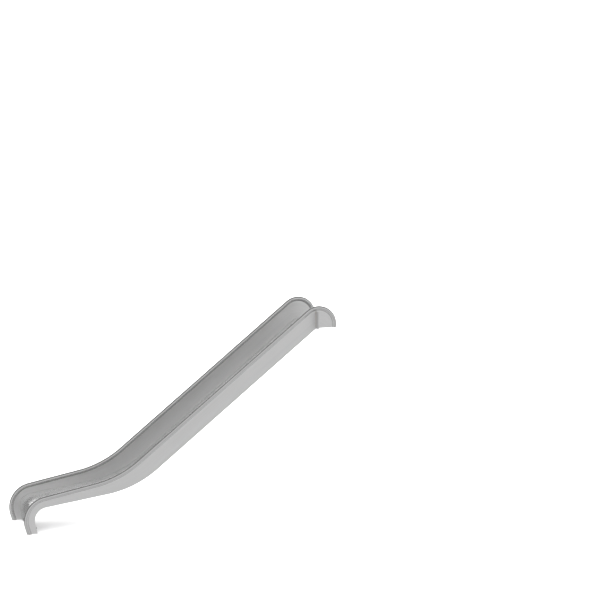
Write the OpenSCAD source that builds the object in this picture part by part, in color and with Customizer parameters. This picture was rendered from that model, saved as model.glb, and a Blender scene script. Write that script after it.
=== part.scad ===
// Straight stainless steel slide for a platform 1.5 m high.
// X runs along the slide, foot at -X and deck end at +X. Y runs across it. Z is up, 0 at the ground.
// Left and right are a rider's, sitting at the top and facing the foot: left is -Y.

/* [Overall] */
// Height of the deck that the top end lies on
platform_h = 1500; // [1200:10:1800]
// Width from the middle of one edge tube to the middle of the other
slide_w = 505; // [420:1:560]
// Slope of the straight chute, in degrees
incline = 38.3; // [34:0.1:40]

/* [Edge tubes] */
// Outside diameter of the edge tubes
tube_d = 33.7; // [26.9:0.1:42.4]
// Wall of the edge tubes
tube_t = 2; // [1.5:0.1:3]
// Height of the tube's middle above the deck at the top of its shoulder
shoulder_h = 164; // [150:1:200]
// Bend radius of the shoulder
shoulder_r = 139; // [110:1:150]
// Backward lean of the tube's foot from upright, in degrees
tube_lean = 17.5; // [10:0.5:20]
// Height at which the lines of foot and run-out cross
tube_nose_h = 241; // [220:1:280]
// Bend radius of the tube at the nose
tube_nose_r = 176; // [120:1:180]
// Slope of the tube along the run-out, in degrees
tube_runout = 10.4; // [6:0.1:14]
// Distance between the crossings at the two ends of the run-out
tube_runout_l = 828; // [800:1:1000]
// Bend radius of the tube between run-out and chute
tube_hollow_r = 817; // [600:1:900]

/* [Cheeks] */
// Thickness of the cheek plates
cheek_t = 3; // [2:0.5:4]
// Depth of the chute from the tube's middle to the cheek's lower edge
cheek_depth = 150; // [140:1:170]
// Distance along the ground from the tube's middle to the cheek's rear edge
foot_l = 67; // [60:1:90]
// Backward lean of the rear edge from upright, in degrees
edge_lean = 13.3; // [8:0.1:16]
// Height at which the rear edge and the run-out's lower edge cross
edge_nose_h = 189; // [180:1:200]
// Radius of the lower edge at the nose
edge_nose_r = 103; // [80:1:120]
// Slope of the lower edge along the run-out, in degrees
edge_runout = 7.7; // [5:0.1:10]
// Radius of the lower edge between run-out and chute
edge_hollow_r = 845; // [600:1:900]
// Radius of the lower edge where it reaches the deck
edge_deck_r = 78; // [60:1:100]

/* [Bed] */
// Thickness of the bed sheet
bed_t = 2.5; // [2:0.5:3]
// Height of the bed's underside above the cheek's lower edge
bed_inset = 2.5; // [2:0.5:4]
// Gap on the deck between the bed's end and the middle of the upright tube
bed_end_gap = 52; // [45:1:60]
// Width of the threshold strip
strip_w = 32; // [28:1:36]
// Thickness of the threshold strip
strip_t = 4; // [3:0.5:5]
// Distance between the strip's screw holes
strip_pitch = 190; // [150:5:200]

/* [Ribs under the bed] */
// Length of each rib across the slide
rib_l = 340; // [300:5:360]
// Depth of the ribs
rib_d = 20; // [15:1:25]
// Width of a rib between its webs
rib_w = 36; // [30:1:40]
// Width of each rib's welding flanges
rib_flange = 12; // [10:1:15]
// Sheet thickness of the ribs
rib_t = 2; // [1.5:0.5:3]

/* [Fixings] */
// How far the tower flanges stand out from the cheeks
flange_w = 62; // [50:1:80]
// Height of the tower flanges
flange_h = 140; // [120:1:142]
// Thickness of the tower flanges
flange_t = 5; // [4:0.5:8]
// Distance from the middle of the upright tube to the flanges' tower side
flange_back = 154; // [145:1:160]
// Diameter of the bolt holes in the flanges
flange_hole = 11; // [9:1:14]
// Distance between the two bolt holes in a flange
flange_pitch = 70; // [60:5:80]
// Width of each ground lug
lug_w = 50; // [45:1:60]
// Length of each ground lug's foot
lug_l = 40; // [36:1:45]
// Thickness of the ground lugs
lug_t = 5; // [4:1:6]
// Diameter of the anchor holes
lug_hole = 14; // [12:1:15]
// Distance between the two anchor holes
lug_pitch = 120; // [110:5:200]
// Depth of the gussets inside the nose
gusset_d = 35; // [25:1:40]
// Thickness of the gussets
gusset_t = 4; // [3:1:6]
// Distance of each gusset from the middle of the slide
gusset_y = 125; // [100:5:150]

/* [Hidden] */
chute_ribs = 6;    // ribs under the straight chute, as many as NODES names
arc_step = 3;      // degrees between the points of a drawn arc
ring_fn = 96;      // fineness of the round shapes
tube_r = tube_d / 2;
cap_t = 3;         // thickness of the caps at the tubes' ends
joint_gap = 0.02;  // gap between the lengths of a tube, which keeps each one whole
cut = 1;           // how far a cutting shape runs past what it cuts

// A route is a list of straight lines, each [point, angle], with a bend radius at each crossing.
function heading(a) = [cos(a), sin(a)];
function left_of(a) = [-sin(a), cos(a)];
function cross2(u, v) = u[0] * v[1] - u[1] * v[0];
// Where two lines cross.
function crossing(m, n) =
    m[0] + heading(m[1]) * cross2(n[0] - m[0], heading(n[1])) / cross2(heading(m[1]), heading(n[1]));
// A line moved to its left.
function moved(m, d) = [m[0] + left_of(m[1]) * d, m[1]];
// The turn from one line to the next, positive to the left.
function turn(m, n) = n[1] - m[1];
function side(m, n) = sign(turn(m, n));
// Middle of the bend of radius r between two lines.
function bend_centre(m, n, r) =
    crossing(m, n) + left_of((m[1] + n[1]) / 2) * side(m, n) * r / cos(turn(m, n) / 2);
// Where the bend starts and ends.
function bend_start(m, n, r) = bend_centre(m, n, r) - left_of(m[1]) * side(m, n) * r;
function bend_end(m, n, r) = bend_centre(m, n, r) - left_of(n[1]) * side(m, n) * r;
// Points round the bend, on a curve d to the left of the route.
function bend_points(m, n, r, d) = [
    let (steps = max(2, ceil(abs(turn(m, n)) / arc_step)))
    for (i = [0 : steps])
        let (a = m[1] + turn(m, n) * i / steps)
        bend_centre(m, n, r) - left_of(a) * (side(m, n) * r - d)
];
// Points along a whole route, d to its left, from its first line's point to the point last.
function route_points(lines, radii, last, d) = concat(
    [lines[0][0] + left_of(lines[0][1]) * d],
    [for (i = [0 : len(radii) - 1]) each bend_points(lines[i], lines[i + 1], radii[i], d)],
    [last + left_of(lines[len(lines) - 1][1]) * d]
);
function backwards(list) = [for (i = [len(list) - 1 : -1 : 0]) list[i]];

// Edge tube, from the ground up: foot, run-out, chute and the upright on the deck.
nose_line_top = [[-tube_nose_h * tan(tube_lean), tube_nose_h], tube_runout];
foot_line = [[0, 0], 90 + tube_lean];
chute_line = [nose_line_top[0] + heading(tube_runout) * tube_runout_l, incline];
upright_turn = incline + 90;
upright_top = platform_h + shoulder_h - shoulder_r + shoulder_r * tan(upright_turn / 2);
run = chute_line[0][0] + (upright_top - chute_line[0][1]) / tan(incline);
upright_line = [[run, upright_top], -90];
tube_lines = [foot_line, nose_line_top, chute_line, upright_line];
tube_bends = [tube_nose_r, tube_hollow_r, shoulder_r];

// Lower edge of the cheeks, from the ground up and on along the deck.
rear_line = [[foot_l, 0], 90 + edge_lean];
nose_line_low = [[foot_l - edge_nose_h * tan(edge_lean), edge_nose_h], edge_runout];
chute_line_low = moved(chute_line, -cheek_depth);
deck_line = [[run, platform_h], 0];
edge_lines = [rear_line, nose_line_low, chute_line_low, deck_line];
edge_bends = [edge_nose_r, edge_hollow_r, edge_deck_r];

// Underside of the bed, a little above that edge, and on the deck itself at the top.
bed_foot = moved(rear_line, bed_inset);
bed_lines = [
    [bed_foot[0] + heading(bed_foot[1]) * bed_inset * tan(edge_lean), bed_foot[1]],
    moved(nose_line_low, bed_inset),
    moved(chute_line_low, bed_inset),
    deck_line
];
bed_bends = [edge_nose_r + bed_inset, edge_hollow_r - bed_inset, edge_deck_r + bed_inset];
bed_end = [run - bed_end_gap, platform_h];

// The origin is under the middle of the whole slide.
x_low = bend_centre(tube_lines[0], tube_lines[1], tube_nose_r)[0] - tube_nose_r - tube_r;
x_high = run + tube_r;
x_mid = (x_low + x_high) / 2;

// Stands a flat drawing of the side view upright, with its thickness centred on y.
module upright_sheet(y, thick) {
    translate([-x_mid, y, 0])
        rotate([90, 0, 0])
            linear_extrude(height = thick, center = true)
                children();
}

// Everything below the ground, to trim a leaning foot.
module trim_box(height) {
    translate([x_low - cut, -slide_w, height])
        cube([400, 2 * slide_w, 2 * tube_nose_r]);
}

module slide_bed() {
    low = route_points(bed_lines, bed_bends, bed_end, 0);
    top = route_points(bed_lines, bed_bends, bed_end, bed_t);
    // The foot of the sheet is cut level with the ground.
    level_foot = [low[0] + [-bed_t / cos(edge_lean), 0]];
    upper = concat(level_foot, [for (i = [1 : len(top) - 1]) top[i]]);
    color("silver")
        upright_sheet(0, slide_w - cheek_t)
            polygon(concat(low, backwards(upper)));
}

module cheek(y) {
    low = route_points(edge_lines, edge_bends, [run - tube_r, platform_h], 0);
    top = route_points(tube_lines, tube_bends, [run, platform_h], -tube_r);
    // The front of the foot is cut level with the ground.
    level_foot = [[tube_r / cos(tube_lean), 0]];
    upper = concat(level_foot, [for (i = [1 : len(top) - 1]) top[i]]);
    color("lightgray")
        upright_sheet(y, cheek_t)
            polygon(concat(low, backwards(upper)));
}

module left_cheek() cheek(-slide_w / 2);
module right_cheek() cheek(slide_w / 2);

// A straight length of tube or bar between two points of the side view.
module straight_round(from, to, r, bore) {
    a = atan2(to[1] - from[1], to[0] - from[0]);
    translate([from[0], 0, from[1]])
        rotate([0, 90 - a, 0])
            difference() {
                cylinder(h = norm(to - from), r = r, $fn = ring_fn);
                if (bore > 0)
                    translate([0, 0, -cut])
                        cylinder(h = norm(to - from) + 2 * cut, r = bore, $fn = ring_fn);
            }
}

// A bend of tube between two lines of the side view.
module bent_round(m, n, radius, r, bore) {
    c = bend_centre(m, n, radius);
    start = min(m[1], n[1]) - side(m, n) * 90;
    translate([c[0], 0, c[1]])
        rotate([90, 0, 0])
            rotate([0, 0, start])
                rotate_extrude(angle = abs(turn(m, n)), $fn = 2 * ring_fn)
                    translate([radius, 0])
                        difference() {
                            circle(r = r, $fn = ring_fn);
                            circle(r = bore, $fn = ring_fn);
                        }
}

// The tube's straight lengths and bends, end to end, each a whole piece.
module edge_tube(y) {
    bore = tube_r - tube_t;
    tail = foot_line[0] - heading(foot_line[1]) * tube_d;
    foot_end = bend_start(tube_lines[0], tube_lines[1], tube_bends[0]);
    color("gainsboro")
        translate([-x_mid, y, 0]) {
            intersection() {
                straight_round(tail, foot_end - heading(foot_line[1]) * joint_gap, tube_r, bore);
                trim_box(cap_t);
            }
            for (i = [1 : 2])
                straight_round(
                    bend_end(tube_lines[i - 1], tube_lines[i], tube_bends[i - 1])
                        + heading(tube_lines[i][1]) * joint_gap,
                    bend_start(tube_lines[i], tube_lines[i + 1], tube_bends[i])
                        - heading(tube_lines[i][1]) * joint_gap,
                    tube_r,
                    bore
                );
            straight_round(
                bend_end(chute_line, upright_line, shoulder_r) - [0, joint_gap],
                [run, platform_h + cap_t],
                tube_r,
                bore
            );
            for (i = [0 : 2])
                bent_round(tube_lines[i], tube_lines[i + 1], tube_bends[i], tube_r, bore);
        }
}

module left_edge_tube() edge_tube(-slide_w / 2);
module right_edge_tube() edge_tube(slide_w / 2);

// Disc that closes the tube's upright end on the deck.
module tube_deck_cap(y) {
    color("darkgray")
        translate([run - x_mid, y, platform_h])
            cylinder(h = cap_t, r = tube_r, $fn = ring_fn);
}

module left_tube_deck_cap() tube_deck_cap(-slide_w / 2);
module right_tube_deck_cap() tube_deck_cap(slide_w / 2);

// Slanted disc that closes the tube's foot on the ground.
module tube_foot_cap(y) {
    tail = foot_line[0] - heading(foot_line[1]) * tube_d;
    color("darkgray")
        translate([-x_mid, y, 0])
            intersection() {
                straight_round(tail, foot_line[0] + heading(foot_line[1]) * tube_d, tube_r, 0);
                translate([-tube_d, -tube_d, 0])
                    cube([2 * tube_d, 2 * tube_d, cap_t]);
            }
}

module left_tube_foot_cap() tube_foot_cap(-slide_w / 2);
module right_tube_foot_cap() tube_foot_cap(slide_w / 2);

// Bevelled strip on the deck that covers the bed's end, with three countersunk screw holes.
module threshold_strip() {
    screw_r = 3;
    head_r = 6;
    head_h = 3;
    bevel = 3;
    length = slide_w - tube_d - 2 * bevel;
    color("silver")
        difference() {
            translate([bed_end[0] - x_mid, 0, platform_h])
                rotate([90, 0, 0])
                    linear_extrude(height = length, center = true)
                        polygon([
                            [0, 0],
                            [strip_w, 0],
                            [strip_w - bevel, strip_t],
                            [bevel, strip_t],
                            [0, bed_t]
                        ]);
            for (i = [-1 : 1])
                translate([bed_end[0] + strip_w / 2 - x_mid, i * strip_pitch, platform_h]) {
                    translate([0, 0, -cut])
                        cylinder(h = strip_t + 2 * cut, r = screw_r, $fn = ring_fn);
                    translate([0, 0, strip_t - head_h])
                        cylinder(h = head_h + 0.001, r1 = screw_r, r2 = head_r, $fn = ring_fn);
                }
        }
}

// Plate that stands out from a cheek and bolts to the tower through two holes.
module tower_flange(way) {
    inner = slide_w / 2 + cheek_t / 2;
    corner_r = 8;
    color("silver")
        translate([run - flange_back - x_mid, 0, platform_h])
            mirror([0, way < 0 ? 1 : 0, 0])
                rotate([90, 0, -90])
                    linear_extrude(height = flange_t)
                        difference() {
                            translate([-inner - flange_w, 0])
                                union() {
                                    square([flange_w, flange_h - corner_r]);
                                    translate([corner_r, 0])
                                        square([flange_w - corner_r, flange_h]);
                                    translate([corner_r, flange_h - corner_r])
                                        circle(r = corner_r, $fn = ring_fn);
                                }
                            for (i = [-1, 1])
                                translate([-inner - flange_w / 2, flange_h / 2 + i * flange_pitch / 2])
                                    circle(r = flange_hole / 2, $fn = ring_fn);
                        }
}

module left_tower_flange() tower_flange(-1);
module right_tower_flange() tower_flange(1);

// Curved web inside the nose, against the underside of the bed.
module nose_gusset(y) {
    outer = bend_points(bed_lines[0], bed_lines[1], bed_bends[0], 0);
    inner = bend_points(bed_lines[0], bed_lines[1], bed_bends[0], -gusset_d);
    color("silver")
        upright_sheet(y, gusset_t)
            polygon(concat(outer, backwards(inner)));
}

module left_nose_gusset() nose_gusset(-gusset_y);
module right_nose_gusset() nose_gusset(gusset_y);

// Bent plate behind the apron, welded to it and anchored to the ground.
module ground_lug(y) {
    // The upright leg leans with the bed's rear face.
    foot = bed_lines[0][0];
    tall = foot + heading(90 + edge_lean) * lug_l;
    inside_corner = foot[0] + lug_t / cos(edge_lean) - lug_t * tan(edge_lean);
    hole_x = foot[0] + (lug_t + lug_l) / 2;
    color("silver")
        difference() {
            upright_sheet(y, lug_w)
                polygon([
                    foot,
                    [foot[0] + lug_l, 0],
                    [foot[0] + lug_l, lug_t],
                    [inside_corner, lug_t],
                    tall + heading(edge_lean) * lug_t,
                    tall
                ]);
            translate([hole_x - x_mid, y, -cut])
                cylinder(h = lug_t + 2 * cut, r = lug_hole / 2, $fn = ring_fn);
        }
}

module left_ground_lug() ground_lug(-lug_pitch / 2);
module right_ground_lug() ground_lug(lug_pitch / 2);

// Top-hat section across the bed's underside at a point of the side view, square to the slope.
module bed_rib(at, slope) {
    half = rib_w / 2;
    wide = half + rib_flange;
    color("silver")
        translate([at[0] - x_mid, 0, at[1]])
            rotate([0, -slope, 0])
                rotate([90, 0, 0])
                    linear_extrude(height = rib_l, center = true)
                        polygon([
                            [-wide, 0], [-half + rib_t, 0],
                            [-half + rib_t, rib_t - rib_d], [half - rib_t, rib_t - rib_d],
                            [half - rib_t, 0], [wide, 0],
                            [wide, -rib_t], [half, -rib_t],
                            [half, -rib_d], [-half, -rib_d],
                            [-half, -rib_t], [-wide, -rib_t]
                        ]);
}

// A rib a share of the way along one of the bed's straight stretches.
module straight_rib(i, share) {
    from = bend_end(bed_lines[i - 1], bed_lines[i], bed_bends[i - 1]);
    to = bend_start(bed_lines[i], bed_lines[i + 1], bed_bends[i]);
    bed_rib(from + (to - from) * share, bed_lines[i][1]);
}

module chute_rib(i) straight_rib(2, (i - 0.5) / chute_ribs);
module runout_rib_1() straight_rib(1, 0.22);
module runout_rib_2() straight_rib(1, 0.8);

// The rib half way round the hollow, let down until only its flanges touch the curved sheet.
module hollow_rib() {
    m = bed_lines[1];
    n = bed_lines[2];
    slope = (m[1] + n[1]) / 2;
    r = bed_bends[1];
    touch = rib_w / 2 - rib_t;
    drop = r - sqrt(r * r - touch * touch);
    bed_rib(bend_centre(m, n, r) - left_of(slope) * (r - drop), slope);
}

slide_bed();
left_cheek();
right_cheek();
left_edge_tube();
right_edge_tube();
left_tube_deck_cap();
right_tube_deck_cap();
left_tube_foot_cap();
right_tube_foot_cap();
threshold_strip();
left_tower_flange();
right_tower_flange();
left_nose_gusset();
right_nose_gusset();
left_ground_lug();
right_ground_lug();
runout_rib_1();
runout_rib_2();
hollow_rib();
for (i = [1 : chute_ribs])
    chute_rib(i);
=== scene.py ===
"""Straight steel slide: bed, cheeks, edge tubes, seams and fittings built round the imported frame."""

import math

import bpy
from bpy.props import FloatProperty, FloatVectorProperty, IntProperty, PointerProperty
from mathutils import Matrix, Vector


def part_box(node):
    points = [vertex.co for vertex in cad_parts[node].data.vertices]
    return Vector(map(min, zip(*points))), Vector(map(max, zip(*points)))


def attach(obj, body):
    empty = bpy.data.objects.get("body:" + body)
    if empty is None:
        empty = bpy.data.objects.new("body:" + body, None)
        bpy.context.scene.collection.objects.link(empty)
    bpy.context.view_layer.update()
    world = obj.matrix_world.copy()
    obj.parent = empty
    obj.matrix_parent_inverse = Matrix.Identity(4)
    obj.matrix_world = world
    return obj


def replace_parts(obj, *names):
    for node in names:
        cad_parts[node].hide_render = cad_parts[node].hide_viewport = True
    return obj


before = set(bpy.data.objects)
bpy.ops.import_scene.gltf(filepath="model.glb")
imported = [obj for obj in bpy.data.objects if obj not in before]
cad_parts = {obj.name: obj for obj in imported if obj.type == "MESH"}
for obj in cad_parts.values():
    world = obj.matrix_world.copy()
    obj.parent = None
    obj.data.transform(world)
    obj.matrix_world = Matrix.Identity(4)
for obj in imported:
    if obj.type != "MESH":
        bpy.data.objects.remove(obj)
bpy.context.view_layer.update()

bl_info = {
    "name": "Straight Steel Slide",
    "version": (1, 0, 0),
    "blender": (4, 5, 0),
    "location": "View3D > Sidebar > Slide",
    "description": "Builds a straight playground slide piece by piece",
    "category": "Add Mesh",
}

BODY = "root"
SIDES = ("left", "right")
RIBS = sorted(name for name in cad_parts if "_rib" in name)
LENGTH_MAP = "length_map"


# ---------------------------------------------------------------- sizes and colours

def length(name, description, default, low=0.0005, high=5.0):
    """A size in metres that a user may change."""
    return FloatProperty(
        name=name, description=description, default=default, min=low, max=high,
        unit="LENGTH", subtype="DISTANCE", precision=4,
    )


def angle(name, description, degrees):
    """An angle that a user may change, given here in degrees."""
    return FloatProperty(
        name=name, description=description, default=math.radians(degrees),
        unit="ROTATION", subtype="ANGLE",
    )


def share(name, description, default):
    """A number from 0 to 1."""
    return FloatProperty(
        name=name, description=description, default=default, min=0.0, max=1.0, subtype="FACTOR",
    )


def colour(name, description, default):
    """A colour with no alpha."""
    return FloatVectorProperty(
        name=name, description=description, default=default, size=3, subtype="COLOR", min=0.0, max=1.0,
    )


def brightness(name, description, default):
    """A brightness of the room, where 1 is white."""
    return FloatProperty(name=name, description=description, default=default, min=0.0)


def power(name, description, default):
    """The power of a light."""
    return FloatProperty(name=name, description=description, default=default, min=0.0, unit="POWER")


class SlideShape(bpy.types.PropertyGroup):
    """Sizes of the slide seen from its side, with the same meaning as in the design."""
    incline: angle("Chute slope", "Slope of the straight chute", 38.3)
    tube_lean: angle("Tube lean", "Backward lean of the tube's foot from upright", 17.5)
    tube_nose_h: length("Tube nose height", "Height where the lines of foot and run-out cross", 0.241)
    tube_nose_r: length("Tube nose radius", "Bend radius of the tube at the nose", 0.176)
    tube_runout: angle("Tube run-out slope", "Slope of the tube along the run-out", 10.4)
    tube_runout_l: length("Run-out length", "Distance between the crossings at its two ends", 0.828)
    tube_hollow_r: length("Tube hollow radius", "Bend radius between run-out and chute", 0.817)
    shoulder_h: length("Shoulder height", "Height of the tube's middle above the deck", 0.164)
    shoulder_r: length("Shoulder radius", "Bend radius of the shoulder", 0.139)
    cheek_t: length("Cheek thickness", "Thickness of the cheek plates", 0.003)
    cheek_depth: length("Chute depth", "From the tube's middle to the cheek's lower edge", 0.150)
    foot_l: length("Foot length", "From the tube's middle to the rear edge, on the ground", 0.067)
    edge_lean: angle("Rear edge lean", "Backward lean of the cheek's rear edge", 13.3)
    edge_nose_h: length("Edge nose height", "Height where rear edge and run-out edge cross", 0.189)
    edge_nose_r: length("Edge nose radius", "Radius of the lower edge at the nose", 0.103)
    edge_runout: angle("Edge run-out slope", "Slope of the lower edge along the run-out", 7.7)
    edge_hollow_r: length("Edge hollow radius", "Radius of the lower edge at the hollow", 0.845)
    edge_deck_r: length("Edge deck radius", "Radius of the lower edge at the deck", 0.078)
    bed_t: length("Bed thickness", "Thickness of the bed sheet", 0.0025)
    bed_inset: length("Bed inset", "Height of the bed's underside above the cheek's lower edge", 0.0025)
    bed_end_gap: length("Bed end gap", "Gap on the deck between the bed's end and the upright tube", 0.052)
    seam_r: length("Channel seam radius", "Radius of the ground weld between bed and cheek", 0.0025)
    rail_seam: length("Rail seam size", "Size of the ground weld between cheek and tube", 0.003)
    bead_r: length("Bead size", "Half width of the visible weld beads", 0.0028)
    stitch_l: length("Stitch length", "Length of one stitch weld under a rib", 0.045)
    stitches: IntProperty(
        name="Stitches", description="Stitch welds along each rib flange", default=4, min=1, max=8,
    )


class SlideFinish(bpy.types.PropertyGroup):
    """Colours and finishes of the steel."""
    bed_tint: colour("Bed steel", "Colour of the polished bed", (0.67, 0.67, 0.667))
    cheek_tint: colour("Cheek steel", "Colour of the brushed cheeks", (0.67, 0.67, 0.67))
    rail_tint: colour("Rail steel", "Colour of the edge tubes", (0.56, 0.56, 0.56))
    bracket_tint: colour("Bracket steel", "Colour of ribs, lugs and flanges", (0.44, 0.44, 0.435))
    weld_tint: colour("Weld steel", "Colour of the weld beads", (0.47, 0.455, 0.44))
    straw_tint: colour("Straw tint", "Colour of weld metal that cooled slowly", (0.50, 0.44, 0.34))
    blue_tint: colour("Blue tint", "Colour of weld metal that ran hottest", (0.36, 0.39, 0.47))
    bed_roughness: share("Bed roughness", "Roughness of the bed away from the riders' track", 0.29)
    cheek_roughness: share("Cheek roughness", "Roughness of the cheeks", 0.36)
    rail_roughness: share("Rail roughness", "Roughness of the edge tubes", 0.12)
    bracket_roughness: share("Bracket roughness", "Roughness of the pickled brackets", 0.52)


class SlideStage(bpy.types.PropertyGroup):
    """Camera, light and floor."""
    camera_at: FloatVectorProperty(
        name="Camera place", description="Where the camera stands", size=3,
        default=(-6.1425, -20.5127, 5.240), subtype="TRANSLATION", unit="LENGTH",
    )
    camera_turn: angle("Camera turn", "Turn of the view to the right of straight across the slide", 19.388)
    camera_tilt: angle("Camera tilt", "Tilt of the view below level", 9.262)
    lens: FloatProperty(name="Lens", description="Focal length", default=163.4, unit="CAMERA")
    floor_tint: colour("Floor", "Colour of the pale floor", (0.93, 0.93, 0.93))
    room: brightness("Room light", "Brightness of the even light all round", 2.64)
    pale_aim: angle("Pale aim", "How far below level the mirrored room's pale front is centred", 35.0)
    dark_tone: brightness("Dark tone", "What the steel mirrors from above and behind", 0.31)
    bright_tone: brightness("Bright tone", "What the steel mirrors from high in front", 1.02)
    level_tone: brightness("Level tone", "What the steel mirrors from low in front", 0.71)
    key_power: power("Key light", "Power of the large soft light in front", 60.0)
    fill_power: power("Fill light", "Power of the large soft light behind", 24.0)
    chute_power: power("Chute box", "Power of the long soft box that the chute mirrors", 140.0)
    nose_power: power("Nose box", "Power of the soft box that the nose mirrors", 35.0)


# ---------------------------------------------------------------- side-view routes

def heading(turn):
    """The direction at an angle from +X, in the side view."""
    return Vector((math.cos(turn), math.sin(turn)))


def left_of(turn):
    """The direction square to an angle, on its left."""
    return Vector((-math.sin(turn), math.cos(turn)))


def cross(u, v):
    """The area that two directions span."""
    return u.x * v.y - u.y * v.x


def crossing(first, second):
    """Where two lines, each a point and an angle, cross."""
    along = cross(second[0] - first[0], heading(second[1])) / cross(heading(first[1]), heading(second[1]))
    return first[0] + heading(first[1]) * along


def moved(line, distance):
    """The line moved to its left."""
    return line[0] + left_of(line[1]) * distance, line[1]


class Route:
    """Straights joined by bends, as samples of a point, an angle and a distance run."""
    BEND_STEPS = 28
    STRAIGHT_STEPS = 10

    def __init__(self, lines, radii, last):
        self.stretches = []
        start = lines[0][0]
        for first, second, radius in zip(lines, lines[1:], radii):
            turn = second[1] - first[1]
            side = math.copysign(1, turn)
            middle_turn = (first[1] + second[1]) / 2
            centre = crossing(first, second) + left_of(middle_turn) * side * radius / math.cos(turn / 2)
            into = centre - left_of(first[1]) * side * radius
            self.stretches.append(self.straight(start, into, first[1]))
            bend = [
                (centre - left_of(a) * side * radius, a)
                for a in (first[1] + turn * i / self.BEND_STEPS for i in range(self.BEND_STEPS + 1))
            ]
            self.stretches.append(bend)
            start = bend[-1][0]
        self.stretches.append(self.straight(start, last, lines[-1][1]))

    def straight(self, start, end, turn):
        """Samples from one point to another, both included."""
        return [(start.lerp(end, i / self.STRAIGHT_STEPS), turn) for i in range(self.STRAIGHT_STEPS + 1)]

    def samples(self, first=0, last=None):
        """Points and angles of some stretches in a row, each shared end given once."""
        chosen = self.stretches[first:last]
        joined = list(chosen[0])
        for stretch in chosen[1:]:
            joined += stretch[1:]
        return joined

    def level_offset(self, distance, height):
        """Points a distance to the left, the first one slid along the line to a height."""
        points = [point + left_of(turn) * distance for point, turn in self.samples()]
        point, turn = points[0], self.samples()[0][1]
        points[0] = point + heading(turn) * (height - point.y) / math.sin(turn)
        return points


class SideView:
    """Every route of the slide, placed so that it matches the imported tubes."""

    def __init__(self, shape):
        tube_low, tube_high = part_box("left_edge_tube")
        self.deck_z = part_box("left_tower_flange")[0].z
        self.tube_r = (tube_high.y - tube_low.y) / 2
        self.half_width = (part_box("right_edge_tube")[0].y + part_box("right_edge_tube")[1].y) / 2
        self.cap_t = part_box("left_tube_deck_cap")[1].z - self.deck_z
        upright = tube_high.x - self.tube_r
        nose = Vector((-shape.tube_nose_h * math.tan(shape.tube_lean), shape.tube_nose_h))
        chute_from = nose + heading(shape.tube_runout) * shape.tube_runout_l
        top = self.deck_z + shape.shoulder_h - shape.shoulder_r
        top += shape.shoulder_r * math.tan((shape.incline + math.pi / 2) / 2)
        run = chute_from.x + (top - chute_from.y) / math.tan(shape.incline)
        shift = Vector((upright - run, 0))
        foot = (shift, math.pi / 2 + shape.tube_lean)
        chute = (chute_from + shift, shape.incline)
        tube_lines = [foot, (nose + shift, shape.tube_runout), chute, (Vector((upright, top)), -math.pi / 2)]
        tube_bends = [shape.tube_nose_r, shape.tube_hollow_r, shape.shoulder_r]
        self.tube = Route(tube_lines, tube_bends, Vector((upright, self.deck_z + self.cap_t)))
        self.tube_to_deck = Route(tube_lines, tube_bends, Vector((upright, self.deck_z)))

        corner_x = shape.foot_l - shape.edge_nose_h * math.tan(shape.edge_lean)
        rear_corner = Vector((corner_x, shape.edge_nose_h)) + shift
        rear = (Vector((shape.foot_l, 0)) + shift, math.pi / 2 + shape.edge_lean)
        low_lines = [rear, (rear_corner, shape.edge_runout), moved(chute, -shape.cheek_depth)]
        deck = (Vector((upright, self.deck_z)), 0.0)
        edge_bends = [shape.edge_nose_r, shape.edge_hollow_r, shape.edge_deck_r]
        self.edge = Route(low_lines + [deck], edge_bends, Vector((upright - self.tube_r, self.deck_z)))
        inset = shape.bed_inset
        bed_bends = [shape.edge_nose_r + inset, shape.edge_hollow_r - inset, shape.edge_deck_r + inset]
        bed_end = Vector((upright - shape.bed_end_gap, self.deck_z))
        self.bed = Route([moved(line, inset) for line in low_lines] + [deck], bed_bends, bed_end)

    def across(self, side):
        """Where the middle of a side's cheek and tube stands, across the slide."""
        return -self.half_width if side == "left" else self.half_width


# ---------------------------------------------------------------- meshes

def new_piece(name, points, faces, maps, material, smooth_over=30):
    """A mesh object that rides on the slide, with its length map and finish."""
    mesh = bpy.data.meshes.new(name)
    mesh.from_pydata(points, [], faces)
    layer = mesh.uv_layers.new(name=LENGTH_MAP)
    for polygon in mesh.polygons:
        for corner, vertex in zip(polygon.loop_indices, polygon.vertices):
            layer.data[corner].uv = maps[vertex]
    mesh.shade_smooth()
    mesh.set_sharp_from_angle(angle=math.radians(smooth_over))
    mesh.materials.append(material)
    piece = bpy.data.objects.new(name, mesh)
    bpy.context.scene.collection.objects.link(piece)
    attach(piece, BODY)
    return piece


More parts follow.
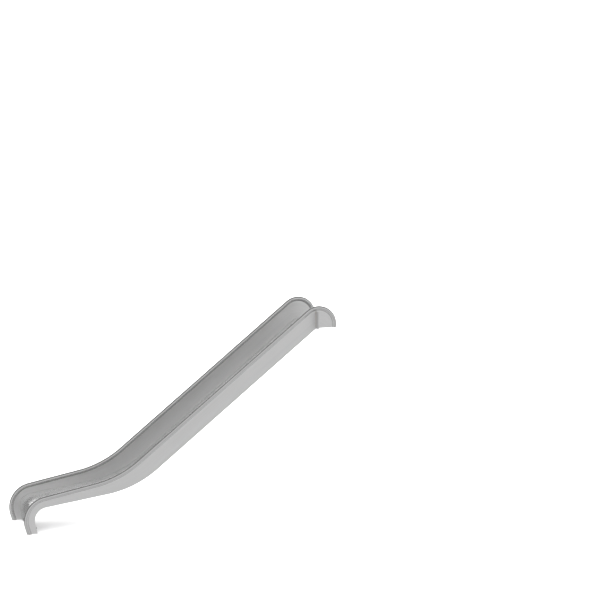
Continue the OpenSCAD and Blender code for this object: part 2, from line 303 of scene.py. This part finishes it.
class Solid:
    """Points, faces and length map of one or more closed sweeps, and the shape of a weld bead."""
    RIPPLE = 0.0026
    RIPPLE_STEPS = 3
    RIPPLE_DEPTH = 0.16
    BEAD_SIDES = 8
    BEAD_END = 0.55
    OFF_AXIS = Vector((0.31, 0.17, 0.93))

    def __init__(self):
        self.points, self.faces, self.maps = [], [], []

    def sweep(self, rings, maps, closed=False):
        """Joins rings of points into a tube with ends, or into a closed loop."""
        start, count = len(self.points), len(rings[0])
        for ring, ring_map in zip(rings, maps):
            self.points += [tuple(point) for point in ring]
            self.maps += ring_map
        last = len(rings) if closed else len(rings) - 1
        for i in range(last):
            here, there = start + i * count, start + (i + 1) % len(rings) * count
            for j in range(count):
                k = (j + 1) % count
                self.faces.append((here + j, here + k, there + k, there + j))
        if not closed:
            self.faces.append(tuple(start + j for j in reversed(range(count))))
            self.faces.append(tuple(start + last * count + j for j in range(count)))

    def along(self, samples, section, y, foot_z=None):
        """Sweeps a section of (across, up) points along side-view samples."""
        rings, maps = [], []
        run = 0.0
        around = [0.0]
        for a, b in zip(section, section[1:]):
            around.append(around[-1] + math.dist(a, b))
        for i, (point, turn) in enumerate(samples):
            if i:
                run += (point - samples[i - 1][0]).length
            ring = []
            for across, up in section:
                at = point + left_of(turn) * up
                if i == 0 and foot_z is not None:
                    at += heading(turn) * (foot_z - at.y) / math.sin(turn)
                ring.append((at.x, y + across, at.y))
            rings.append(ring)
            maps.append([(run, v) for v in around])
        self.sweep(rings, maps)

    def bead(self, path, radius, closed=False):
        """A rippled weld bead along points in space."""
        steps = self.RIPPLE_STEPS
        spine = []
        count = len(path) if closed else len(path) - 1
        for i in range(count):
            a, b = Vector(path[i]), Vector(path[(i + 1) % len(path)])
            parts = max(1, round((b - a).length / self.RIPPLE * steps))
            spine += [a.lerp(b, j / parts) for j in range(parts)]
        if not closed:
            spine.append(Vector(path[-1]))
        turns = [math.tau * j / self.BEAD_SIDES for j in range(self.BEAD_SIDES)]
        rings, maps = [], []
        for i, point in enumerate(spine):
            after = spine[(i + 1) % len(spine)] if closed else spine[min(i + 1, len(spine) - 1)]
            before = spine[i - 1] if closed or i else spine[0]
            ahead = (after - before).normalized()
            sideways = ahead.cross(self.OFF_AXIS).normalized()
            upward = ahead.cross(sideways)
            swell = radius * (1 - self.RIPPLE_DEPTH + self.RIPPLE_DEPTH * (i % steps) / (steps - 1))
            if not closed and i in (0, len(spine) - 1):
                swell *= self.BEAD_END
            rings.append([point + (sideways * math.cos(t) + upward * math.sin(t)) * swell for t in turns])
            maps.append([(i * self.RIPPLE / steps, radius * t) for t in turns])
        self.sweep(rings, maps, closed)

    def piece(self, name, material, slot, smooth_over=30):
        """The mesh object of all that was swept."""
        return new_piece(name, self.points, self.faces, self.maps, material, smooth_over)


def disc_section(radius, sides):
    """Points (across, up) round a circle."""
    turns = [math.tau * i / sides for i in range(sides)]
    return [(radius * math.sin(t), radius * math.cos(t)) for t in turns]


def cove_section(way, radius, bury):
    """A concave fillet in the corner between a floor and a wall on the side 'way'."""
    steps = 6
    hollow = [
        (-way * radius * (1 - math.sin(t)), radius * (1 - math.cos(t)))
        for t in (math.pi / 2 * i / steps for i in range(steps + 1))
    ]
    corner = [(way * bury, radius), (way * bury, -bury), (-way * radius, -bury)]
    return hollow + corner if way > 0 else list(reversed(hollow + corner))


def soften(piece, width, segments=2):
    """Rounds the sharp edges of a plate."""
    bevel = piece.modifiers.new("softened_edges", "BEVEL")
    bevel.width = width
    bevel.segments = segments
    bevel.limit_method = "ANGLE"
    bevel.angle_limit = math.radians(40)
    bevel.use_clamp_overlap = True
    return piece


def refinish(node, material, edge=0.0006):
    """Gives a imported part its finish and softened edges."""
    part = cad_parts[node]
    part.data.materials.clear()
    part.data.materials.append(material)
    soften(part, edge)


# ---------------------------------------------------------------- finishes

class Socket:
    """A node socket that can be used in sums."""

    def __init__(self, finish, socket):
        self.finish, self.socket = finish, socket

    def sum(self, operation, first, second):
        """One Math node on two values."""
        node = self.finish.add("ShaderNodeMath", {"operation": operation}, {0: first, 1: second})
        return node.out("Value")

    def __add__(self, other):
        return self.sum("ADD", self, other)

    def __sub__(self, other):
        return self.sum("SUBTRACT", self, other)

    def __rsub__(self, other):
        return self.sum("SUBTRACT", other, self)

    def __mul__(self, other):
        return self.sum("MULTIPLY", self, other)

    def __abs__(self):
        return self.sum("ABSOLUTE", self, 0.0)

    __radd__ = __add__
    __rmul__ = __mul__


class Node:
    """A shader node with its outputs."""

    def __init__(self, finish, node):
        self.finish, self.node = finish, node

    def out(self, name):
        """One output, ready to be used in sums."""
        return Socket(self.finish, self.node.outputs[name])


class Finish:
    """The node tree of a material or a world, built with expressions."""

    def __init__(self, owner):
        self.owner = owner
        owner.use_nodes = True
        self.tree = owner.node_tree
        self.tree.nodes.clear()

    def add(self, kind, settings=None, sockets=None):
        """One node: its settings first, then the values or links of its sockets."""
        node = self.tree.nodes.new(kind)
        for key, value in (settings or {}).items():
            if key == "stops":
                set_stops(node.color_ramp.elements, value)
            else:
                setattr(node, key, value)
        for key, value in (sockets or {}).items():
            if isinstance(value, Socket):
                self.tree.links.new(value.socket, node.inputs[key])
            else:
                node.inputs[key].default_value = value
        return Node(self, node)

    def place(self, mapped):
        """Metres along and across a swept piece, or plain object coordinates."""
        if mapped:
            return self.add("ShaderNodeUVMap", {"uv_map": LENGTH_MAP}).out("UV")
        return self.add("ShaderNodeTexCoord").out("Object")

    def stretched(self, place, factors):
        """Coordinates with a factor for each axis."""
        scaled = self.add("ShaderNodeVectorMath", {"operation": "MULTIPLY"}, {0: place, 1: factors})
        return scaled.out("Vector")

    def noise(self, place, factors, detail=2.0, roughness=0.5):
        """Noise from 0 to 1 on stretched coordinates."""
        sockets = {
            "Vector": self.stretched(place, factors), "Scale": 1.0, "Detail": detail, "Roughness": roughness,
        }
        return self.add("ShaderNodeTexNoise", {"noise_dimensions": "3D"}, sockets).out("Fac")

    def ramp(self, value, stops):
        """A grey level for each value, from stops of a place and a level."""
        return self.add("ShaderNodeValToRGB", {"stops": stops}, {"Fac": value}).out("Color")

    def mix(self, factor, first, second):
        """A blend of two colours."""
        node = self.add("ShaderNodeMix", {"data_type": "RGBA", "clamp_factor": True}, {"Factor": factor})
        for name, value in (("A", first), ("B", second)):
            socket = next(s for s in node.node.inputs if s.name == name and s.type == "RGBA")
            if isinstance(value, Socket):
                self.tree.links.new(value.socket, socket)
            else:
                socket.default_value = value
        return Socket(self, next(s for s in node.node.outputs if s.type == "RGBA"))

    def bump(self, height, strength, distance):
        """A normal bumped by a height, whose full size is a distance in metres."""
        sockets = {"Height": height, "Strength": strength, "Distance": distance}
        return self.add("ShaderNodeBump", {}, sockets).out("Normal")

    def steel(self, base, roughness, normal):
        """Closes the material with a metal shader."""
        shader = self.add("ShaderNodeBsdfPrincipled", {}, {
            "Base Color": base, "Roughness": roughness, "Normal": normal, "Metallic": 1.0,
        })
        self.add("ShaderNodeOutputMaterial", {}, {"Surface": shader.out("BSDF")})
        return self.owner


def set_stops(band, stops):
    """Places the grey stops of a ramp, from left to right."""
    band[0].position, band[1].position = stops[0][0], stops[-1][0]
    for place, _ in stops[1:-1]:
        band.new(place)
    for element, (_, level) in zip(band, stops):
        element.color = (level, level, level, 1)


def new_finish(name):
    """An empty material, ready for its nodes."""
    return Finish(bpy.data.materials.new(name))


def shade(tint, factor):
    """A tint made lighter or darker, with alpha."""
    return tuple(min(1.0, part * factor) for part in tint) + (1.0,)


def brushed_steel(name, tint, roughness, mapped=True, fine=(5.0, 900.0, 900.0), broad=(0.9, 70.0, 70.0)):
    """Satin steel with a fine grain, broader streaks and faint handling marks."""
    finish = new_finish(name)
    place = finish.place(mapped)
    grain = finish.noise(place, fine, 3.0, 0.6)
    streak = finish.noise(place, broad, 3.0, 0.55)
    body = finish.add("ShaderNodeTexCoord").out("Object")
    marks = finish.noise(body, (4.5, 4.5, 4.5), 4.0, 0.6)
    smudge = finish.ramp(marks, [(0.52, 0.0), (0.74, 1.0)])
    tone = 0.5 + (streak - 0.5) * 0.55 + (grain - 0.5) * 0.5 - (marks - 0.5) * 0.25
    base = finish.mix(tone, shade(tint, 0.88), shade(tint, 1.12))
    rough = roughness + (grain - 0.5) * 0.16 + (streak - 0.5) * 0.08 + smudge * 0.05
    return finish.steel(base, rough, finish.bump(grain, 0.22, 0.00015))


def cheek_steel(name, settings):
    """The cheeks, brushed along their length."""
    return brushed_steel(name, settings.cheek_tint, settings.cheek_roughness)


def rail_steel(name, settings):
    """The edge tubes, polished, with a short grain along them."""
    fine, broad = (60.0, 320.0, 1.0), (2.5, 30.0, 1.0)
    return brushed_steel(name, settings.rail_tint, settings.rail_roughness, fine=fine, broad=broad)


def flange_steel(name, settings):
    """The tower flanges, brushed upright, on plain object coordinates."""
    fine, broad = (700.0, 700.0, 12.0), (60.0, 60.0, 4.0)
    return brushed_steel(name, settings.cheek_tint, settings.cheek_roughness, False, fine, broad)


def bed_steel(name, settings):
    """The sliding surface: long grain, riders' scratches and a smoother track in the middle."""
    finish = new_finish(name)
    place = finish.place(True)
    body = finish.add("ShaderNodeTexCoord").out("Object")
    across = finish.add("ShaderNodeSeparateXYZ", {}, {0: body}).out("Y")
    grain = finish.noise(place, (4.0, 800.0, 1.0), 3.0, 0.6)
    streak = finish.noise(place, (0.7, 60.0, 1.0), 3.0, 0.6)
    marks = finish.noise(body, (3.5, 5.0, 3.5), 4.0, 0.6)
    wander = (finish.noise(body, (2.2, 3.0, 2.2), 2.0) - 0.5) * 0.10
    track = finish.ramp(abs(across) + wander, [(0.07, 1.0), (0.21, 0.0)])
    scratch = finish.ramp(finish.noise(place, (3.2, 260.0, 1.0), 2.0), [(0.66, 0.0), (0.73, 1.0)])
    cross_scratch = finish.ramp(finish.noise(body, (90.0, 11.0, 90.0), 1.0), [(0.74, 0.0), (0.79, 1.0)])
    tone = 0.5 + (streak - 0.5) * 0.6 + (grain - 0.5) * 0.5 - (marks - 0.5) * 0.2
    tone = tone + scratch * track * 0.22 + cross_scratch * 0.12 + track * 0.08
    base = finish.mix(tone, shade(settings.bed_tint, 0.86), shade(settings.bed_tint, 1.12))
    rough = settings.bed_roughness + (grain - 0.5) * 0.16 + (marks - 0.5) * 0.10 - track * 0.07
    rough = rough + scratch * track * 0.08
    return finish.steel(base, rough, finish.bump(grain - scratch * track * 0.5, 0.2, 0.00015))


def bracket_steel(name, settings):
    """Pickled mill finish with soft blotches and a fine tooth."""
    finish = new_finish(name)
    body = finish.place(False)
    blotch = finish.noise(body, (14.0, 14.0, 14.0), 5.0, 0.62)
    tooth = finish.noise(body, (420.0, 420.0, 420.0), 2.0)
    drawn = finish.noise(body, (160.0, 4.0, 160.0), 2.0)
    tone = 0.5 + (blotch - 0.5) * 0.9 + (drawn - 0.5) * 0.4
    tint = settings.bracket_tint
    base = finish.mix(tone, shade(tint, 0.82), shade(tint, 1.15))
    rough = settings.bracket_roughness + (blotch - 0.5) * 0.2 + (tooth - 0.5) * 0.12
    return finish.steel(base, rough, finish.bump(tooth + drawn * 0.5, 0.25, 0.0002))


def weld_steel(name, settings):
    """Weld metal with faint straw and blue heat tint."""
    finish = new_finish(name)
    body = finish.place(False)
    heat = finish.noise(body, (38.0, 38.0, 38.0), 3.0)
    tooth = finish.noise(body, (700.0, 700.0, 700.0), 2.0)
    slow = finish.ramp(heat, [(0.45, 0.0), (0.62, 1.0)])
    hot = finish.ramp(heat, [(0.30, 1.0), (0.42, 0.0)])
    straw = finish.mix(slow, shade(settings.weld_tint, 1.0), shade(settings.straw_tint, 1.0))
    base = finish.mix(hot, straw, shade(settings.blue_tint, 1.0))
    return finish.steel(base, 0.42 + (tooth - 0.5) * 0.2, finish.bump(tooth, 0.3, 0.0002))


STEELS = {
    "bed": bed_steel,
    "cheek": cheek_steel,
    "rail": rail_steel,
    "flange": flange_steel,
    "bracket": bracket_steel,
    "weld": weld_steel,
}


def steel(kind):
    """The finish of one kind of piece, made once and then shared."""
    name = kind + "_steel_finish"
    return bpy.data.materials.get(name) or STEELS[kind](name, bpy.context.scene.slide_finish)


# ---------------------------------------------------------------- operators

class SlideOperator:
    """What every builder of a piece shares."""
    bl_options = {"REGISTER", "UNDO"}

    def execute(self, context):
        shape = context.scene.slide_shape
        self.build(shape, SideView(shape))
        return {"FINISHED"}


class SLIDE_OT_bed(SlideOperator, bpy.types.Operator):
    """Bends the bed sheet from the ground, over the nose and up to the deck"""
    bl_idname = "slide.bed"
    bl_label = "Bed sheet"

    def build(self, shape, view):
        half = view.half_width - shape.cheek_t / 2
        columns = 12
        low = [(-half + 2 * half * i / columns, 0.0) for i in range(columns + 1)]
        top = [(across, shape.bed_t) for across, _ in reversed(low)]
        solid = Solid()
        solid.along(view.bed.samples(), top + low, 0.0, foot_z=0.0)
        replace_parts(solid.piece("bed_sheet", steel("bed"), "bed_steel"), "slide_bed")


class SLIDE_OT_cheeks(SlideOperator, bpy.types.Operator):
    """Cuts the two cheek plates between the lower edge and the edge tubes"""
    bl_idname = "slide.cheeks"
    bl_label = "Cheek plates"

    def build(self, shape, view):
        rows = 8
        low = view.edge.level_offset(0.0, 0.0)
        high = view.tube_to_deck.level_offset(-view.tube_r, 0.0)
        tip = low.pop()  # on the deck, where the lower edge meets the tube
        high.pop()
        for side in SIDES:
            y = view.across(side)
            points, maps, faces = [], [], []
            run = 0.0
            last = low[0].lerp(high[0], 0.5)
            for a, b in zip(low, high):
                middle = a.lerp(b, 0.5)
                run += (middle - last).length
                last = middle
                for j in range(rows + 1):
                    at = a.lerp(b, j / rows)
                    points.append((at.x, y, at.y))
                    maps.append((run, (b - a).length * j / rows))
            for i in range(len(low) - 1):
                for j in range(rows):
                    corner = i * (rows + 1) + j
                    faces.append((corner, corner + rows + 1, corner + rows + 2, corner + 1))
            end = len(points)
            points.append((tip.x, y, tip.y))
            maps.append((run + (tip - last).length, 0.0))
            faces += [(end - rows - 1 + j, end, end - rows + j) for j in range(rows)]
            plate = new_piece(side + "_cheek_plate", points, faces, maps, steel("cheek"))
            thick = plate.modifiers.new("plate_thickness", "SOLIDIFY")
            thick.thickness = shape.cheek_t
            thick.offset = 0.0
            soften(plate, shape.cheek_t / 5)
            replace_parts(plate, side + "_cheek")


class SLIDE_OT_edge_rails(SlideOperator, bpy.types.Operator):
    """Bends the two edge tubes and closes their ends"""
    bl_idname = "slide.edge_rails"
    bl_label = "Edge tubes"
    SIDES_ROUND = 48
    BEAD_POINTS = 36

    def build(self, shape, view):
        section = disc_section(view.tube_r, self.SIDES_ROUND)
        for side in SIDES:
            solid = Solid()
            around = list(reversed(section))
            solid.along(view.tube.samples(), around, view.across(side), foot_z=view.cap_t)
            rail = solid.piece(side + "_edge_rail", steel("rail"), "tube_steel")
            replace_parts(rail, side + "_edge_tube")
            for end in ("_tube_deck_cap", "_tube_foot_cap"):
                refinish(side + end, steel("rail"), edge=0.0008)
            self.cap_beads(shape, view, side)

    def cap_beads(self, shape, view, side):
        """Weld beads where the caps close the tube."""
        solid = Solid()
        for end in ("_tube_deck_cap", "_tube_foot_cap"):
            low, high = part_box(side + end)
            radius = view.tube_r - shape.bead_r * 0.25
            stretch = (high.x - low.x) / 2 / view.tube_r
            centre = Vector(((low.x + high.x) / 2, view.across(side), high.z))
            ring = [
                centre + Vector((along * stretch, across, 0.0))
                for across, along in disc_section(radius, self.BEAD_POINTS)
            ]
            solid.bead(ring, shape.bead_r * 0.5, closed=True)
        solid.piece(side + "_cap_welds", steel("weld"), "cap_steel", smooth_over=60)


class SLIDE_OT_channel_seams(SlideOperator, bpy.types.Operator):
    """Runs the ground weld inside the channel and the one along the underside"""
    bl_idname = "slide.channel_seams"
    bl_label = "Bed to cheek seams"
    BURY = 0.0008
    BURY_BELOW = 0.0006
    UNDERSIDE = (1, 6)  # from the nose bend to the bend at the deck

    def build(self, shape, view):
        wall = view.half_width - shape.cheek_t / 2
        for side, way in zip(SIDES, (-1, 1)):
            solid = Solid()
            samples = [(point + left_of(turn) * shape.bed_t, turn) for point, turn in view.bed.samples()]
            solid.along(samples, cove_section(way, shape.seam_r, self.BURY), way * wall, foot_z=0.0)
            solid.piece(side + "_channel_seam", steel("bed"), "bed_steel")
            below = Solid()
            cove = cove_section(way, shape.bed_inset * 0.9, self.BURY_BELOW)
            under = [(y, -up) for y, up in reversed(cove)]
            below.along(view.bed.samples(*self.UNDERSIDE), under, way * wall)
            below.piece(side + "_underside_seam", steel("weld"), "bracket_steel")


class SLIDE_OT_rail_seams(SlideOperator, bpy.types.Operator):
    """Runs the ground welds between each cheek and its edge tube"""
    bl_idname = "slide.rail_seams"
    bl_label = "Cheek to tube seams"
    STEPS = 5
    BURY = 0.0006

    def build(self, shape, view):
        size, wall = shape.rail_seam, shape.cheek_t / 2
        reach = wall + size
        drop = view.tube_r - math.sqrt(view.tube_r ** 2 - reach ** 2)
        turns = [math.pi / 2 * i / self.STEPS for i in range(self.STEPS + 1)]
        top, core = drop - view.tube_r, wall * 0.4
        for side in SIDES:
            solid = Solid()
            for way in (-1, 1):
                hollow = [
                    (way * (reach - size * math.sin(t)), top - (size + drop) * (1 - math.cos(t)))
                    for t in turns
                ]
                inner = [(way * core, hollow[-1][1]), (way * core, top + self.BURY)]
                section = hollow + inner + [(way * reach, top + self.BURY)]
                if way > 0:
                    section.reverse()
                solid.along(view.tube.samples(), section, view.across(side), foot_z=0.0)
            solid.piece(side + "_rail_seam", steel("rail"), "tube_steel")


class SLIDE_OT_threshold(SlideOperator, bpy.types.Operator):
    """Finishes the screwed strip at the deck end"""
    bl_idname = "slide.threshold"
    bl_label = "Threshold strip"

    def build(self, shape, view):
        refinish("threshold_strip", steel("bed"), edge=0.0004)


class SLIDE_OT_tower_flanges(SlideOperator, bpy.types.Operator):
    """Finishes the bolted flanges and welds them to the cheeks"""
    bl_idname = "slide.tower_flanges"
    bl_label = "Tower flanges"
    END_GAP = 0.004

    def build(self, shape, view):
        for side, way in zip(SIDES, (-1, 1)):
            refinish(side + "_tower_flange", steel("flange"), edge=0.0008)
            low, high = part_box(side + "_tower_flange")
            y = way * (view.half_width + shape.cheek_t / 2)
            solid = Solid()
            for x in (low.x, high.x):
                solid.bead([(x, y, low.z + self.END_GAP), (x, y, high.z - self.END_GAP)], shape.bead_r)
            solid.piece(side + "_flange_welds", steel("weld"), "bracket_steel", smooth_over=60)


class SLIDE_OT_ribs(SlideOperator, bpy.types.Operator):
    """Finishes the ribs under the bed and stitches them to it"""
    bl_idname = "slide.ribs"
    bl_label = "Ribs"

    def build(self, shape, view):
        hollow = (shape.edge_runout + shape.incline) / 2
        slopes = {"runout": shape.edge_runout, "hollow": hollow, "chute": shape.incline}
        solid = Solid()
        for rib in RIBS:
            refinish(rib, steel("bracket"), edge=0.0004)
            turn = slopes[rib.split("_")[0]]
            self.stitch(solid, shape, rib, heading(turn), left_of(turn))
        solid.piece("rib_welds", steel("weld"), "bracket_steel", smooth_over=60)

    def stitch(self, solid, shape, rib, along, up):
        """Stitch welds along both long edges of one rib's flanges."""
        corners = [Vector((v.co.x, v.co.z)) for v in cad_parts[rib].data.vertices]
        ends = (min(c.dot(along) for c in corners), max(c.dot(along) for c in corners))
        top = max(c.dot(up) for c in corners)
        low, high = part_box(rib)
        pitch = (high.y - low.y) / shape.stitches
        for edge in ends:
            at = along * edge + up * (top - shape.bead_r * 0.35)
            for i in range(shape.stitches):
                middle = low.y + pitch * (i + 0.5)
                path = [(at.x, middle + shape.stitch_l * way / 2, at.y) for way in (-1, 1)]
                solid.bead(path, shape.bead_r * 0.8)


class SLIDE_OT_nose_fittings(SlideOperator, bpy.types.Operator):
    """Finishes the gussets and ground lugs and welds them to the bed"""
    bl_idname = "slide.nose_fittings"
    bl_label = "Nose gussets and ground lugs"
    END_GAP = 0.003

    def build(self, shape, view):
        solid = Solid()
        for side in SIDES:
            gusset, lug = side + "_nose_gusset", side + "_ground_lug"
            refinish(gusset, steel("bracket"), edge=0.0005)
            refinish(lug, steel("bracket"), edge=0.0006)
            low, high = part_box(gusset)
            nose = view.bed.stretches[1][1:-1]
            for y in (low.y, high.y):
                solid.bead([(point.x, y, point.y) for point, _ in nose], shape.bead_r * 0.8)
            low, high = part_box(lug)
            rear, turn = view.bed.stretches[0][0]
            at = rear + heading(turn) * (high.z - rear.y) / math.sin(turn)
            ends = (low.y + self.END_GAP, high.y - self.END_GAP)
            solid.bead([(at.x, y, at.y) for y in ends], shape.bead_r * 0.8)
        solid.piece("nose_welds", steel("weld"), "bracket_steel", smooth_over=60)


class SLIDE_OT_stage(bpy.types.Operator):
    """Lays the pale floor, hangs the soft lights and places the camera"""
    bl_idname = "slide.stage"
    bl_label = "Floor, light and camera"
    FLOOR_REACH = 300.0
    FLOOR_SIDES = 64

    def execute(self, context):
        stage = context.scene.slide_stage
        self.floor(stage)
        self.sky(context, stage)
        self.lights(stage)
        self.camera(context, stage)
        return {"FINISHED"}

    def floor(self, stage):
        """A pale disc that reaches out of sight, and that the steel doesn't mirror."""
        mesh = bpy.data.meshes.new("floor")
        rim = [(x, y, 0.0) for y, x in disc_section(self.FLOOR_REACH, self.FLOOR_SIDES)]
        mesh.from_pydata(rim, [], [tuple(range(self.FLOOR_SIDES))])
        finish = new_finish("floor_paint")
        blotch = finish.noise(finish.place(False), (0.4, 0.4, 0.4), 2.0)
        base = finish.mix(blotch, shade(stage.floor_tint, 0.99), shade(stage.floor_tint, 1.0))
        shader = finish.add("ShaderNodeBsdfPrincipled", {}, {
            "Base Color": base, "Roughness": 1.0, "Specular IOR Level": 0.0,
        })
        finish.add("ShaderNodeOutputMaterial", {}, {"Surface": shader.out("BSDF")})
        mesh.materials.append(finish.owner)
        floor = bpy.data.objects.new("floor", mesh)
        bpy.context.scene.collection.objects.link(floor)
        floor.visible_glossy = False

    def sky(self, context, stage):
        """Even pale light all round, and a tilted room in three tones for the steel to mirror."""
        room = Finish(bpy.data.worlds.new("studio_room"))
        pale_way = (0.0, -math.cos(stage.pale_aim), -math.sin(stage.pale_aim))
        ahead = room.add("ShaderNodeTexCoord").out("Generated")
        facing = room.add("ShaderNodeVectorMath", {"operation": "DOT_PRODUCT"}, {0: ahead, 1: pale_way})
        tones = room.ramp(facing.out("Value") * 0.5 + 0.5, (
            (0.43, stage.dark_tone), (0.70, stage.bright_tone), (0.79, stage.bright_tone),
            (0.84, stage.level_tone),
        ))
        mirrored = room.add("ShaderNodeBackground", {}, {"Color": tones}).out("Background")
        even = room.add("ShaderNodeBackground", {}, {"Color": (1, 1, 1, 1), "Strength": stage.room})
        glossy = room.add("ShaderNodeLightPath").out("Is Glossy Ray")
        chosen = room.add("ShaderNodeMixShader", {}, {0: glossy, 1: even.out("Background"), 2: mirrored})
        room.add("ShaderNodeOutputWorld", {}, {"Surface": chosen.out("Shader")})
        context.scene.world = room.owner

    def lights(self, stage):
        """Two round lights for the floor's shadow, and two soft boxes that the steel mirrors."""
        middle = Vector((0.0, 0.0, 0.6))
        self.soft_light("key_light", (-5.0, -5.5, 7.0), middle, (5.0, 5.0), stage.key_power, False)
        self.soft_light("fill_light", (4.0, 6.0, 6.0), middle, (6.0, 6.0), stage.fill_power, False)
        for name, place, size, watts in (
            ("chute_box", (2.5, 9.0, 4.8), (9.0, 2.0), stage.chute_power),
            ("nose_box", (-3.0, 9.0, 2.75), (2.2, 3.0), stage.nose_power),
        ):
            self.soft_light(name, place, Vector((place[0], 0.0, middle.z)), size, watts, True)

    def soft_light(self, name, place, target, size, watts, mirrored):
        """An area light that faces a target: a box when the steel mirrors it, else a disc."""
        data = bpy.data.lights.new(name, "AREA")
        data.shape = "RECTANGLE" if mirrored else "DISK"
        data.size, data.size_y = size
        data.energy = watts
        light = bpy.data.objects.new(name, data)
        light.location = place
        light.rotation_euler = (target - light.location).to_track_quat("-Z", "Y").to_euler()
        light.visible_glossy = mirrored
        bpy.context.scene.collection.objects.link(light)

    def camera(self, context, stage):
        """A long lens in front of the slide, towards its foot end."""
        data = bpy.data.cameras.new("camera")
        data.lens = stage.lens
        data.sensor_width = 36.0
        data.clip_end = 600.0
        camera = bpy.data.objects.new("camera", data)
        camera.location = stage.camera_at
        camera.rotation_euler = (math.pi / 2 - stage.camera_tilt, 0.0, -stage.camera_turn)
        bpy.context.scene.collection.objects.link(camera)
        context.scene.camera = camera
        context.scene.view_settings.view_transform = "Standard"


PIECE_OPERATORS = (
    SLIDE_OT_bed, SLIDE_OT_cheeks, SLIDE_OT_edge_rails, SLIDE_OT_channel_seams, SLIDE_OT_rail_seams,
    SLIDE_OT_threshold, SLIDE_OT_tower_flanges, SLIDE_OT_ribs, SLIDE_OT_nose_fittings, SLIDE_OT_stage,
)


class SLIDE_PT_panel(bpy.types.Panel):
    """Lists the builders of the slide's pieces"""
    bl_idname = "SLIDE_PT_panel"
    bl_label = "Straight slide"
    bl_space_type = "VIEW_3D"
    bl_region_type = "UI"
    bl_category = "Slide"

    def draw(self, context):
        column = self.layout.column(align=True)
        for operator in PIECE_OPERATORS:
            column.operator(operator.bl_idname)


CLASSES = (SlideShape, SlideFinish, SlideStage) + PIECE_OPERATORS + (SLIDE_PT_panel,)


def register():
    for cls in CLASSES:
        bpy.utils.register_class(cls)
    bpy.types.Scene.slide_shape = PointerProperty(type=SlideShape)
    bpy.types.Scene.slide_finish = PointerProperty(type=SlideFinish)
    bpy.types.Scene.slide_stage = PointerProperty(type=SlideStage)


def unregister():
    del bpy.types.Scene.slide_stage
    del bpy.types.Scene.slide_finish
    del bpy.types.Scene.slide_shape
    for cls in reversed(CLASSES):
        bpy.utils.unregister_class(cls)


def main():
    register()
    for operator in PIECE_OPERATORS:
        group, name = operator.bl_idname.split(".")
        getattr(getattr(bpy.ops, group), name)()
    bpy.context.view_layer.update()


if __name__ == "__main__":
    main()
